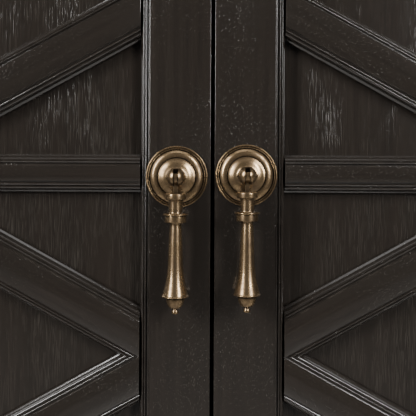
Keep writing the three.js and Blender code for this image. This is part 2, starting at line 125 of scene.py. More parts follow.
def buildGrainGroup():
    # the grain runs along Z of the vector that comes in
    values = grainValues
    tree, given, made = newGroup("woodGrain", [
        ("Vector", "NodeSocketVector", None),
        ("Pore Level", "NodeSocketFloat", 0.6),
        ("Pore Scale", "NodeSocketVector", (1500, 1500, 130)),
    ], [("Streak", "NodeSocketFloat"), ("Cloud", "NodeSocketFloat"), ("Pore And Glint", "NodeSocketFloat"),
        ("Height", "NodeSocketFloat")])
    vector, level = given.outputs["Vector"], given.outputs["Pore Level"]
    warp = noiseNode(tree, stretched(tree, vector, values["warpScale"]))
    shifted = addNode(tree, "ShaderNodeVectorMath", {
        0: stretched(tree, warp.outputs["Color"], values["warp"]), 1: vector,
    }, operation="ADD").outputs[0]
    fine = noiseNode(tree, stretched(tree, shifted, values["fineScale"]), Roughness=values["fineRoughness"])
    band = noiseNode(tree, stretched(tree, shifted, values["bandScale"]))
    cloud = noiseNode(tree, stretched(tree, vector, values["cloudScale"]), detail=3.0).outputs[0]
    speck = noiseNode(tree, stretched(tree, shifted, given.outputs["Pore Scale"]), detail=1.0).outputs[0]
    streak = mathNode(tree, "ADD", mathNode(tree, "MULTIPLY", fine.outputs[0], values["fineShare"]),
                      mathNode(tree, "MULTIPLY", band.outputs[0], values["bandShare"]))
    top = mathNode(tree, "ADD", level, values["poreSoftness"])
    cluster = rangeNode(tree, cloud, *values["clusterSpan"], values["fewestPores"], 1.0)
    # the pore mask cuts the bump, and in the colour it also places the painted glints
    poreAndGlint = mathNode(tree, "MULTIPLY", rangeNode(tree, speck, level, top), cluster)
    height = mathNode(tree, "SUBTRACT", mathNode(tree, "MULTIPLY", streak, values["streakHeight"]), poreAndGlint)
    tree.links.new(rangeNode(tree, streak, *values["streakSpan"]), made.inputs["Streak"])
    tree.links.new(rangeNode(tree, cloud, *values["cloudSpan"]), made.inputs["Cloud"])
    tree.links.new(poreAndGlint, made.inputs["Pore And Glint"])
    tree.links.new(height, made.inputs["Height"])
    return tree


def buildWearAndHighlightGroup():
    # painted highlight and edge wear: bright on outside edges, broken up by a noise
    tree, given, made = newGroup("edgeWearAndHighlight", [
        ("Vector", "NodeSocketVector", None),
        ("Radius", "NodeSocketFloat", 0.0008),
        ("Break Scale", "NodeSocketFloat", 90.0),
    ], [("Mask", "NodeSocketFloat")])
    soft = addNode(tree, "ShaderNodeBevel", {"Radius": given.outputs["Radius"]},
                   samples=wearAndHighlightValues["samples"])
    flat = addNode(tree, "ShaderNodeNewGeometry")
    facing = addNode(tree, "ShaderNodeVectorMath", {
        0: soft.outputs[0], 1: flat.outputs["Normal"],
    }, operation="DOT_PRODUCT").outputs["Value"]
    edge = rangeNode(tree, facing, *wearAndHighlightValues["edgeSpan"])
    noise = noiseNode(tree, given.outputs["Vector"], given.outputs["Break Scale"], 3.0).outputs[0]
    broken = rangeNode(tree, noise, *wearAndHighlightValues["breakSpan"])
    tree.links.new(mathNode(tree, "MULTIPLY", edge, broken, clamp=True), made.inputs["Mask"])
    return tree


def buildPatinaAndShadeGroup():
    # dark in hollows and in soft blotches: the blotches are patina; the hollow darkening is patina in the grooves
    # and painted shade where parts meet and under the collars
    tree, given, made = newGroup("brassPatinaAndShade", [
        ("Vector", "NodeSocketVector", None),
        ("Blotch Scale", "NodeSocketFloat", 120.0),
        ("Hollow Reach", "NodeSocketFloat", 0.003),
    ], [("Hollow", "NodeSocketFloat"), ("Blotch", "NodeSocketFloat")])
    shade = addNode(tree, "ShaderNodeAmbientOcclusion", {"Distance": given.outputs["Hollow Reach"]},
                    samples=patinaAndShadeValues["samples"])
    blotch = noiseNode(tree, given.outputs["Vector"], given.outputs["Blotch Scale"], 5.0).outputs[0]
    hollow = rangeNode(tree, shade.outputs["AO"], *patinaAndShadeValues["hollowSpan"])
    tree.links.new(hollow, made.inputs["Hollow"])
    tree.links.new(rangeNode(tree, blotch, *patinaAndShadeValues["blotchSpan"]), made.inputs["Blotch"])
    return tree


grainGroup = buildGrainGroup()
wearAndHighlightGroup = buildWearAndHighlightGroup()
patinaAndShadeGroup = buildPatinaAndShadeGroup()

# materials


def startMaterial(name, rotation=(0, 0, 0)):
    material = bpy.data.materials.new(name)
    material.use_nodes = True
    tree = material.node_tree
    shader = tree.nodes["Principled BSDF"]
    coordinates = addNode(tree, "ShaderNodeTexCoord")
    turned = addNode(tree, "ShaderNodeMapping", {"Vector": coordinates.outputs["Object"]})
    turned.inputs["Rotation"].default_value = Euler(rotation)
    return material, tree, shader, turned.outputs[0]


def woodMaterial(name, values, rotation):
    material, tree, shader, vector = startMaterial(name, rotation)
    grain = addNode(tree, "ShaderNodeGroup", {
        "Vector": vector, "Pore Level": values["poreLevel"], "Pore Scale": values["poreScale"],
    }, node_tree=grainGroup)
    colour = mixColour(tree, grain.outputs["Streak"], values["dark"], values["light"])
    colour = mixColour(tree, mathNode(tree, "MULTIPLY", grain.outputs["Cloud"], values["cloudAmount"]),
                       colour, values["cloud"])
    # on the painted wood the light pore colour is a painted glint, light caught in the pores; on the inside wood
    # the darker pore colour is the pores' own tone
    colour = mixColour(tree, mathNode(tree, "MULTIPLY", grain.outputs["Pore And Glint"], values["poreAndGlintAmount"]),
                       colour, values["poreAndGlint"])
    # the lighter edge colour is a painted highlight along the arrises, partly edge wear
    wearAndHighlight = addNode(tree, "ShaderNodeGroup", {
        "Vector": vector, "Radius": values["wearAndHighlightRadius"],
    }, node_tree=wearAndHighlightGroup)
    wornAndHighlight = mathNode(tree, "MULTIPLY", wearAndHighlight.outputs["Mask"], values["wearAndHighlightAmount"])
    tree.links.new(mixColour(tree, wornAndHighlight, colour, values["wornAndHighlight"]), shader.inputs["Base Color"])
    rough = rangeNode(tree, grain.outputs["Streak"], 0.0, 1.0, values["rough"][1], values["rough"][0])
    tree.links.new(rough, shader.inputs["Roughness"])
    bump = addNode(tree, "ShaderNodeBump", {
        "Height": grain.outputs["Height"], "Distance": values["bump"], "Strength": 1.0,
    })
    tree.links.new(bump.outputs[0], shader.inputs["Normal"])
    shader.inputs["Specular IOR Level"].default_value = values["specular"]
    return material


def metalMaterial(name, values):
    material, tree, shader, vector = startMaterial(name)
    patinaAndShade = addNode(tree, "ShaderNodeGroup", {
        "Vector": vector, "Blotch Scale": values["blotchScale"], "Hollow Reach": values["hollowReach"],
    }, node_tree=patinaAndShadeGroup)
    colour = mixColour(tree, patinaAndShade.outputs["Blotch"], values["base"], values["blotch"])
    # the hollow colour is patina in the grooves and painted shade against neighbouring parts and under overhangs
    colour = mixColour(tree, mathNode(tree, "MULTIPLY", patinaAndShade.outputs["Hollow"], values["hollowAmount"]),
                       colour, values["hollow"])
    tree.links.new(colour, shader.inputs["Base Color"])
    rough = rangeNode(tree, patinaAndShade.outputs["Blotch"], 0.0, 1.0, *values["rough"])
    tree.links.new(rough, shader.inputs["Roughness"])
    shader.inputs["Metallic"].default_value = values["metallic"]
    return material


paintValues = {
    "dark": (0.0076, 0.0059, 0.0047, 1), "light": (0.0162, 0.0128, 0.0103, 1),
    "cloud": (0.0116, 0.0100, 0.0083, 1), "cloudAmount": 0.5,
    # the light pore colour paints glints into the pores
    "poreAndGlint": (0.100, 0.090, 0.076, 1), "poreAndGlintAmount": 0.4, "poreLevel": 0.67, "poreScale": (1500, 1500, 800),
    # the light edge colour is a painted edge highlight, partly wear
    "wornAndHighlight": (0.055, 0.046, 0.037, 1), "wearAndHighlightAmount": 0.6, "wearAndHighlightRadius": 0.0007,
    "rough": (0.13, 0.19), "bump": 0.00004, "specular": 0.6,
}
# on the panels the light pore streaks are painted glints too
panelValues = dict(paintValues, poreLevel=0.56, poreAndGlintAmount=0.12, poreScale=(2600, 2600, 60), bump=0.00002,
                   rough=(0.13, 0.18), specular=0.5)
insideValues = {
    "dark": (0.040, 0.026, 0.016, 1), "light": (0.085, 0.058, 0.038, 1),
    "cloud": (0.060, 0.040, 0.026, 1), "cloudAmount": 0.5,
    "poreAndGlint": (0.022, 0.014, 0.009, 1), "poreAndGlintAmount": 0.6, "poreLevel": 0.6, "poreScale": (1500, 1500, 90),
    # the light edge colour is a painted edge highlight, partly wear
    "wornAndHighlight": (0.12, 0.085, 0.06, 1), "wearAndHighlightAmount": 0.4, "wearAndHighlightRadius": 0.0007,
    "rough": (0.5, 0.65), "bump": 0.00006, "specular": 0.35,
}
brassValues = {
    "base": (0.226, 0.154, 0.082, 1), "blotch": (0.086, 0.058, 0.034, 1), "blotchScale": 150.0,
    # the dark hollow colour is partly patina and partly painted shade where parts meet
    "hollow": (0.026, 0.018, 0.013, 1), "hollowAmount": 0.95, "hollowReach": 0.0055, "rough": (0.23, 0.36),
    "metallic": 0.9,
}
steelValues = {
    "base": (0.42, 0.41, 0.39, 1), "blotch": (0.34, 0.33, 0.32, 1), "blotchScale": 150.0,
    # the dark hollow colour is partly painted shade where the catch meets the case
    "hollow": (0.08, 0.08, 0.08, 1), "hollowAmount": 0.6, "hollowReach": 0.003, "rough": (0.28, 0.4),
    "metallic": 1.0,
}

quarter = math.pi / 2
slope = 0.55
barTurn = quarter - math.atan(slope)
grainTurns = {"z": (0, 0, 0), "x": (0, quarter, 0), "y": (quarter, 0, 0),
              "rising": (0, -barTurn, 0), "falling": (0, barTurn, 0)}
paint = {key: woodMaterial("paint_" + key, paintValues, turn) for key, turn in grainTurns.items()}
inside = {key: woodMaterial("inside_" + key, insideValues, grainTurns[key]) for key in "xyz"}
panelPaint = woodMaterial("paint_panel", panelValues, grainTurns["z"])
brass = metalMaterial("antiqueBrass", brassValues)
steel = metalMaterial("catchSteel", steelValues)
print("materials made")

# mesh helpers


def meshObject(name, bm, sharpAngle=None):
    mesh = bpy.data.meshes.new(name)
    bm.normal_update()
    bm.to_mesh(mesh)
    bm.free()
    if sharpAngle is not None:
        mesh.shade_smooth()
        mesh.set_sharp_from_angle(angle=math.radians(sharpAngle))
    piece = bpy.data.objects.new(name, mesh)
    collection.objects.link(piece)
    return piece


def dress(piece, body, materials, nodes=()):
    for material in materials:
        piece.data.materials.append(material)
    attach(piece, body)
    if nodes:
        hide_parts(*nodes)
    return piece


def smoothAgain(piece, sharpAngle=35):
    piece.data.shade_smooth()
    piece.data.set_sharp_from_angle(angle=math.radians(sharpAngle))


def addBevel(piece, width, segments=2):
    bevel = piece.modifiers.new("edges", "BEVEL")
    bevel.width = width
    bevel.segments = segments
    bevel.limit_method = "ANGLE"
    bevel.harden_normals = True
    smoothAgain(piece)


def boxInto(bm, low, high):
    size = Vector(high) - Vector(low)
    middle = (Vector(high) + Vector(low)) / 2
    bmesh.ops.create_cube(bm, size=1, matrix=Matrix.Translation(middle) @ Matrix.Diagonal((*size, 1)))


def board(node, edge, finishes):
    low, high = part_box(node)
    size = high - low
    axis = "xyz"[max(range(3), key=lambda i: size[i])]
    bm = bmesh.new()
    boxInto(bm, low, high)
    piece = meshObject(node + "_board", bm)
    addBevel(piece, edge)
    return dress(piece, bodyOf[node], [finishes[axis]], [node])


def smoothLine(points, steps):
    # a curve through the points; a point given twice stays a corner
    runs, run = [], [points[0]]
    for point in points[1:]:
        if point == run[-1]:
            runs.append(run)
            run = [point]
        else:
            run.append(point)
    runs.append(run)
    line = []
    for part in runs:
        if len(part) == 1:
            line.append(part[0])
            continue
        ends = [part[0], *part, part[-1]]
        for i in range(1, len(ends) - 2):
            p0, p1, p2, p3 = ends[i - 1:i + 3]
            for step in range(steps):
                t = step / steps
                line.append(tuple(
                    0.5 * (2 * b + (c - a) * t + (2 * a - 5 * b + 4 * c - d) * t * t
                           + (3 * b - a - 3 * c + d) * t ** 3)
                    for a, b, c, d in zip(p0, p1, p2, p3)))
        line.append(part[-1])
    clean = [line[0]]
    for point in line[1:]:
        if math.dist(point, clean[-1]) > tiny:
            clean.append(point)
    return clean


def latheInto(bm, profile, centre, axis, segments=96):
    # profile is radius and height in mm; axis "z" turns about Z, "y" stands out towards -Y
    rings = []
    for radius, height in profile:
        ring = []
        for i in range(segments if radius > tiny else 1):
            angle = math.tau * i / segments
            a, b = radius * math.cos(angle), radius * math.sin(angle)
            spot = (a, b, height) if axis == "z" else (a, -height, b)
            ring.append(bm.verts.new(Vector(centre) + Vector(spot) * mm))
        rings.append(ring)
    faces = []
    for low, high in zip(rings, rings[1:]):
        for i in range(segments):
            j = (i + 1) % segments
            corners = [low[i % len(low)], low[j % len(low)], high[j % len(high)], high[i % len(high)]]
            corners = list(dict.fromkeys(corners))
            if len(corners) > 2:
                faces.append(bm.faces.new(corners))
    bmesh.ops.recalc_face_normals(bm, faces=faces)


def sweepInto(bm, path, profile, closed, place, material=lambda i: 0):
    # path is corners in a plane, profile is offset along the outward normal and height
    count = len(path)

    def normal(i):
        (ax, ay), (bx, by) = path[i % count], path[(i + 1) % count]
        length = math.hypot(bx - ax, by - ay)
        return (by - ay) / length, (ax - bx) / length

    rings = []
    for i, (x, y) in enumerate(path):
        before = normal(i - 1) if closed or i > 0 else normal(0)
        after = normal(i) if closed or i < count - 1 else before
        scale = 1 / (1 + before[0] * after[0] + before[1] * after[1])
        across = ((before[0] + after[0]) * scale, (before[1] + after[1]) * scale)
        rings.append([bm.verts.new(place(x + across[0] * out, y + across[1] * out, along))
                      for out, along in profile])
    for i in range(count if closed else count - 1):
        here, there = rings[i], rings[(i + 1) % count]
        for j in range(len(profile) - 1):
            face = bm.faces.new((here[j], there[j], there[j + 1], here[j + 1]))
            face.material_index = material(i)
    return rings


def turnOutward(bm, direction):
    # an open strip has no inside, so its faces are turned to show towards the direction
    bmesh.ops.recalc_face_normals(bm, faces=bm.faces)
    bm.normal_update()
    if sum(face.normal.dot(direction) * face.calc_area() for face in bm.faces) < 0:
        bmesh.ops.reverse_faces(bm, faces=bm.faces)


# doors

lattice = {
    "bar": 23.4, "crossBar": 12.0, "modules": 5, "openingHalf": 226.8, "ring": 7.2,
    "face": 1.2, "slab": 2.2, "arris": 0.35, "lap": 0.04, "margin": 0.05, "edge": 0.5, "ringLap": 0.3,
}
# inset from the bar's edge and depth behind the door face
barMoulding = [
    (0.0, 1.5), (0.05, 3.2), (0.05, 3.2), (1.2, 3.5), (1.5, 3.4), (1.5, 3.4), (1.75, 2.6), (2.35, 2.2),
    (2.95, 2.6), (3.2, 3.5), (3.25, 4.6), (3.25, 4.6), (3.7, 4.6), (3.7, 4.6), (3.9, 3.9), (4.8, 3.8),
    (5.7, 4.6), (6.4, 6.4), (6.7, 8.3), (6.7, 8.3), (6.9, 8.5), (6.9, 8.5), (8.2, 9.5), (8.2, 9.5),
    (8.4, 9.8), (8.4, 9.8), (8.4, 13.9),
]
# inset from the stile and depth behind the door face
ringMoulding = [
    (0.0, 2.6), (0.05, 0.7), (0.45, 0.25), (0.95, 0.5), (1.1, 1.4), (1.15, 2.9), (1.15, 2.9), (1.9, 3.0),
    (1.9, 3.0), (2.1, 2.2), (2.8, 1.7), (3.5, 2.2), (3.7, 3.6), (3.7, 3.6), (4.2, 3.8), (4.2, 3.8),
    (4.4, 3.0), (5.2, 3.1), (6.2, 4.6), (7.0, 7.4), (7.2, 11.0), (7.2, 13.9),
]
crossings = math.hypot(1, slope)
halfRise = lattice["bar"] / 2 * crossings
moduleHeight = 2 * slope * (lattice["openingHalf"] + halfRise / slope)
openingHeight = moduleHeight * lattice["modules"]


def outline(lines, inset):
    moved = [(nx, nz, d - inset if isBar else d) for nx, nz, d, isBar in lines]
    corners = []
    for i, (ax, az, ad) in enumerate(moved):
        bx, bz, bd = moved[(i + 1) % len(moved)]
        det = ax * bz - az * bx
        corners.append(((ad * bz - az * bd) / det, (ax * bd - ad * bx) / det))
    return corners


def latticeCells():
    nx, nz = slope / crossings, 1 / crossings
    halfBar, halfCross = lattice["bar"] / 2, lattice["crossBar"] / 2
    cells = []
    for i in range(lattice["modules"]):
        z = (i - (lattice["modules"] - 1) / 2) * moduleHeight
        for side in (-1, 1):
            for up in (-1, 1):
                lines = [
                    (side, 0, lattice["openingHalf"], False),
                    (-side * nx, up * nz, up * nz * z - halfBar, True),
                    (0, -up, -up * z - halfCross, True),
                ]
                cells.append(lines if side * up > 0 else lines[::-1])
    for i in range(lattice["modules"] + 1):
        z = (i - lattice["modules"] / 2) * moduleHeight
        reach = lattice["openingHalf"] * nx
        upper = [(nx, nz, nz * z + reach, True), (-nx, nz, nz * z + reach, True)]
        lower = [(-nx, -nz, reach - nz * z, True), (nx, -nz, reach - nz * z, True)]
        if i == 0:
            cells.append([*upper, (0, -1, openingHeight / 2, False)])
        elif i == lattice["modules"]:
            cells.append([*lower, (0, 1, openingHeight / 2, False)])
        else:
            cells.append([*upper, *lower])
    return cells


def clipped(polygon, nx, nz, limit):
    kept = []
    for i, (x, z) in enumerate(polygon):
        px, pz = polygon[i - 1]
        here, before = nx * x + nz * z - limit, nx * px + nz * pz - limit
        if (here > 0) != (before > 0):
            t = before / (before - here)
            kept.append((px + (x - px) * t, pz + (z - pz) * t))
        if here <= 0:
            kept.append((x, z))
    return kept


def lineKind(nx, nz):
    # 0 for a rising bar, 1 for a falling one, 2 for a level one
    if abs(nx) < tiny:
        return 2
    return 0 if nx * nz < 0 else 1


def addBar(bm, polygon, depth, material, spot):
    front = [bm.verts.new(spot(x, depth, z)) for x, z in polygon]
    back = [bm.verts.new(spot(x, depth + lattice["slab"], z)) for x, z in polygon]
    count = len(polygon)
    faces = [bm.faces.new(front)]
    for i in range(count):
        j = (i + 1) % count
        faces.append(bm.faces.new((front[i], front[j], back[j], back[i])))
    for face in faces:
        face.material_index = material
    result = bmesh.ops.bevel(bm, geom=list(faces[0].edges), offset=lattice["arris"] * mm, segments=2,
                             profile=0.5, affect="EDGES")
    for face in result["faces"]:
        face.material_index = material


def buildLattice(label):
    node = f"door_{label}_lattice"
    low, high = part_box(node)
    middle = (low + high) / 2

    def spot(x, depth, z):
        return Vector((middle.x + x * mm, faceY + depth * mm, middle.z + z * mm))

    bm = bmesh.new()
    halfX, halfZ = lattice["openingHalf"] + lattice["margin"], openingHeight / 2 + lattice["margin"]
    whole = [(-halfX, -halfZ), (halfX, -halfZ), (halfX, halfZ), (-halfX, halfZ)]
    for i in range(lattice["modules"]):
        z = (i - (lattice["modules"] - 1) / 2) * moduleHeight
        for kind, (nx, nz) in enumerate(((-slope, 1), (slope, 1), (0, 1))):
            length = math.hypot(nx, nz)
            nx, nz = nx / length, nz / length
            half = (lattice["crossBar"] if kind == 2 else lattice["bar"]) / 2
            shape = clipped(whole, nx, nz, nz * z + half)
            shape = clipped(shape, -nx, -nz, half - nz * z)
            addBar(bm, shape, lattice["face"] + kind * lattice["lap"], kind, spot)
    line = smoothLine(barMoulding, 3)
    for lines in latticeCells():
        rings = [[bm.verts.new(spot(x, depth, z)) for x, z in outline(lines, inset)]
                 for inset, depth in line]
        for upper, lower in zip(rings, rings[1:]):
            for i, (nx, nz, _, isBar) in enumerate(lines):
                if isBar:
                    face = bm.faces.new((upper[i - 1], upper[i], lower[i], lower[i - 1]))
                    face.material_index = lineKind(nx, nz)
    bm.normal_update()
    for face in bm.faces:
        if face.normal.y > 0:
            face.normal_flip()
    piece = meshObject(node + "_bars", bm, 28)
    return dress(piece, bodyOf[node], [paint["rising"], paint["falling"], paint["x"]], [node])


def buildRing(label):
    node = f"door_{label}_panel_moulding"
    low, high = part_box(node)
    middle = (low + high) / 2
    half = (high - low) / 2 / mm + Vector((1, 0, 1)) * lattice["ringLap"]
    path = [(-half.x, -half.z), (half.x, -half.z), (half.x, half.z), (-half.x, half.z)]
    bm = bmesh.new()
    profile = [(-inset, depth) for inset, depth in smoothLine(ringMoulding, 3)]
    sweepInto(bm, path, profile, True,
              lambda x, z, y: Vector((middle.x + x * mm, faceY + y * mm, middle.z + z * mm)),
              lambda i: i % 2)
    turnOutward(bm, forward)
    piece = meshObject(node + "_run", bm, 28)
    return dress(piece, bodyOf[node], [paint["x"], paint["z"]], [node])


def paintNode(node, material):
    mesh = frame["nodes"][node].data
    mesh.materials.clear()
    mesh.materials.append(material)


for label in ("left", "right"):
    for part in ("hinge_stile", "meeting_stile", "bottom_rail", "top_rail"):
        board(f"door_{label}_{part}", lattice["edge"] * mm, paint)
    paintNode(f"door_{label}_panel", panelPaint)
    buildRing(label)
    buildLattice(label)
print("doors built")

# case

caseEdges = {"frame": 0.6, "cap": 1.6, "shelf": 1.0, "catch": 1.2}
for node in ("frame_stile_left", "frame_stile_right", "frame_rail_top", "frame_rail_middle",
             "frame_rail_bottom"):
    board(node, caseEdges["frame"] * mm, paint)
board("cap_board", caseEdges["cap"] * mm, paint)
for node in ("shelf_1", "shelf_2", "shelf_3", "shelf_4", "cupboard_floor", "drawer_floor", "ceiling_board",
             "door_stop"):
    board(node, caseEdges["shelf"] * mm, inside)
paintNode("back_panel", inside["z"])
for side in ("left", "right"):
    paintNode(f"side_{side}", paint["z"])
    paintNode(f"drawer_divider_{side}", paint["z"])
paintNode("plinth", paint["x"])

cornice = {"reach": 38, "profile": [
    (0.3, 0), (7, 0), (7, 0), (7.7, 0.8), (8, 2.4), (8, 2.4), (8, 9), (8, 9), (9.4, 9.6), (11, 12),
    (11, 12), (11.3, 16), (12, 22), (15, 32), (21, 41), (29, 47), (29, 47), (32, 47.6), (32, 47.6),
    (32, 54), (32, 54), (33.6, 54.3), (36, 57), (37.7, 60), (38, 62), (38, 62), (38, 72), (38, 72),
    (0.3, 72),
]}


def buildCornice():
    low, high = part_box("cornice")
    reach = cornice["reach"] * mm
    left, right, front, back = low.x + reach, high.x - reach, low.y + reach, high.y
    path = [(left, back), (left, front), (right, front), (right, back)]
    bm = bmesh.new()
    profile = [(out * mm, low.z + up * mm) for out, up in smoothLine(cornice["profile"], 4)]
    rings = sweepInto(bm, path, profile, False, lambda x, y, z: Vector((x, y, z)),
                      lambda i: 0 if i == 1 else 1)
    for ring in (rings[0], rings[-1]):
        bm.faces.new(ring)
    for here, there in zip(rings, rings[1:]):
        bm.faces.new((here[0], there[0], there[-1], here[-1]))
    bmesh.ops.recalc_face_normals(bm, faces=bm.faces)
    piece = meshObject("cornice_run", bm, 30)
    return dress(piece, "case", [paint["x"], paint["y"]], ["cornice"])


buildCornice()

sideFields = {
    "margin": 55, "waist": (278, 322), "back": 55, "front": 71,
    "bead": [(0.0, 5.9), (0.0, 0.4), (0.3, 0.0), (0.3, 0.0), (1.6, 0.0), (1.6, 0.0), (1.6, 1.4), (1.6, 1.4),
             (3.6, 1.9), (5.6, 3.6), (6.2, 5.9)],
}


def fieldMoulding(name, outer, side, y0, y1, z0, z1):
    path = [(y0, z0), (y1, z0), (y1, z1), (y0, z1)]
    bm = bmesh.new()
    profile = [(-inset * mm, outer - side * depth * mm)
               for inset, depth in smoothLine(sideFields["bead"], 3)]
    sweepInto(bm, path, profile, True, lambda y, z, x: Vector((x, y, z)), lambda i: i % 2)
    turnOutward(bm, Vector((side, 0, 0)))
    dress(meshObject(name, bm, 30), "case", [paint["y"], paint["z"]])


for side, label in ((-1, "left"), (1, "right")):
    low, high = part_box(f"side_{label}")
    outer = high.x if side > 0 else low.x
    front, back = faceY + sideFields["front"] * mm, high.y - sideFields["back"] * mm
    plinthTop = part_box("plinth")[1].z
    fieldMoulding(f"side_{label}_low_bead", outer, side, front, back,
                  plinthTop + sideFields["margin"] * mm, sideFields["waist"][0] * mm)
    fieldMoulding(f"side_{label}_tall_bead", outer, side, front, back, sideFields["waist"][1] * mm,
                  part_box("cornice")[0].z - sideFields["margin"] * mm)

for side in ("left", "right"):
    low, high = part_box(f"catch_{side}")
    bm = bmesh.new()
    boxInto(bm, low, high)
    piece = meshObject(f"catch_{side}_block", bm)
    addBevel(piece, caseEdges["catch"] * mm, 3)
    dress(piece, "case", [steel], [f"catch_{side}"])
print("case built")

# drawers

drawerBead = [(0.0, 0.0), (0.2, -1.2), (1.4, -1.9), (2.6, -1.2), (2.8, -0.2), (2.8, -0.2), (3.4, 0.0)]
drawer = {"edge": 0.8, "beadInset": 14}
knobProfile = smoothLine([
    (0, 0), (9, 0), (9, 0), (9, 1), (9, 1), (7.8, 2), (5.2, 2.8), (4.2, 4.4), (3.9, 7), (4.2, 9.2),
    (5.2, 10.4), (5.2, 10.4), (6, 10.5), (6, 10.5), (6, 11.3), (6, 11.3), (8.6, 12.4), (10.8, 14.8),
    (11.5, 17.6), (10.8, 20.4), (8.4, 22.8), (4.8, 24.1), (0, 24.4),
], 5)

for place in ("left", "middle", "right"):
    board(f"drawer_{place}_front", drawer["edge"] * mm, paint)
    low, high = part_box(f"drawer_{place}_front")
    inset = drawer["beadInset"] * mm
    path = [(low.x + inset, low.z + inset), (high.x - inset, low.z + inset),
            (high.x - inset, high.z - inset), (low.x + inset, high.z - inset)]
    bm = bmesh.new()
    sweepInto(bm, path, [(-a * mm, b * mm) for a, b in smoothLine(drawerBead, 3)], True,
              lambda x, z, y: Vector((x, faceY + y, z)), lambda i: i % 2)
    turnOutward(bm, forward)
    dress(meshObject(f"drawer_{place}_bead", bm, 40), f"drawer_{place}",
          [paint["x"], paint["z"]])
    paintNode(f"drawer_{place}_box", inside["y"])
    knobLow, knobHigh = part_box(f"drawer_{place}_knob")
    centre = ((knobLow.x + knobHigh.x) / 2, knobHigh.y, (knobLow.z + knobHigh.z) / 2)
    bm = bmesh.new()
    latheInto(bm, knobProfile, centre, "y")
    dress(meshObject(f"drawer_{place}_knob_turned", bm, 50), f"drawer_{place}", [brass],
          [f"drawer_{place}_knob"])
print("drawers built")

# hinges

hinge = {"height": 76, "leaf": 1.3, "clear": 0.4, "radius": 3.6, "pin": 1.5, "back": 18, "front": -0.5,
         "axisDepth": -4.5, "gap": 0.3, "screws": (-26, 0, 26), "screwDepth": 10.5, "chamfer": 0.35,
         "pinPast": 1, "tabStart": 0.4, "tabLap": 0.5}
tipProfile = smoothLine([
    (0, 0), (3.6, 0), (3.6, 0), (3.6, 0.9), (3.6, 0.9), (2.4, 1.2), (2.1, 1.7), (2.9, 2.6), (3.1, 3.6),
    (2.6, 4.4), (1.5, 4.75), (0, 4.8),
], 4)
screwProfile = [(0, 0), (2.6, 0), (2.6, 0.15), (2.2, 0.35), (0, 0.4)]


def knuckleProfile(z0, z1):
    r, c = hinge["radius"], hinge["chamfer"]
    return [(0, z0), (r - c, z0), (r, z0 + c), (r, z1 - c), (r - c, z1), (0, z1)]


def leafInto(bm, towards, axis, z0, z1, y0, y1):
    xs = sorted((towards * hinge["clear"], towards * (hinge["clear"] + hinge["leaf"])))
    boxInto(bm, axis + Vector((xs[0], y0, z0)) * mm, axis + Vector((xs[1], y1, z1)) * mm)


def screwsInto(bm, towards, axis):
    behind = hinge["screwDepth"] - hinge["axisDepth"]
    for level in hinge["screws"]:
        surface = axis + Vector((towards * hinge["clear"], behind, level)) * mm
        start = len(bm.verts)
        latheInto(bm, screwProfile, (0, 0, 0), "z", 24)
        bm.verts.ensure_lookup_table()
        turn = Matrix.Translation(surface) @ Matrix.Rotation(-towards * quarter, 4, "Y")
        bmesh.ops.transform(bm, matrix=turn, verts=bm.verts[start:])


def buildHinge(label, side, name, z, nodes):
    axis = Vector((jointAt[f"door_{label}_hinge"].x, jointAt[f"door_{label}_hinge"].y, z))
    half = hinge["height"] / 2
    third = hinge["height"] / 6
    behind = hinge["back"] - hinge["axisDepth"]
    ahead = hinge["front"] - hinge["axisDepth"]
    for part, towards, body in (("frame_leaf", side, "case"), ("door_leaf", -side, f"door_{label}")):
        bm = bmesh.new()
        leafInto(bm, towards, axis, -half, half, ahead, behind)
        if part == "frame_leaf":
            spans = [(-half, -third), (third, half)]
            latheInto(bm, [(r, half + h) for r, h in tipProfile], axis, "z", 48)
            latheInto(bm, [(r, -half - h) for r, h in tipProfile], axis, "z", 48)
            reach = third + hinge["pinPast"]
            latheInto(bm, [(0, -reach), (hinge["pin"], -reach), (hinge["pin"], reach), (0, reach)],
                      axis, "z", 32)
        else:
            spans = [(-third + hinge["gap"], third - hinge["gap"])]
        for z0, z1 in spans:
            leafInto(bm, towards, axis, z0, z1, hinge["tabStart"], ahead + hinge["tabLap"])
            latheInto(bm, knuckleProfile(z0, z1), axis, "z", 48)
        screwsInto(bm, towards, axis)
        piece = meshObject(f"hinge_{label}_{name}_{part}_shaped", bm, 35)
        dress(piece, body, [brass], [f"hinge_{label}_{name}_{part}"] if nodes else ())


for side, label in ((-1, "left"), (1, "right")):
    levels = {}
    for name in ("lower", "upper"):
        low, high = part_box(f"hinge_{label}_{name}_door_leaf")
        levels[name] = (low.z + high.z) / 2
        buildHinge(label, side, name, levels[name], True)
    buildHinge(label, side, "middle", (levels["lower"] + levels["upper"]) / 2, False)
print("hinges built")

# drop pulls

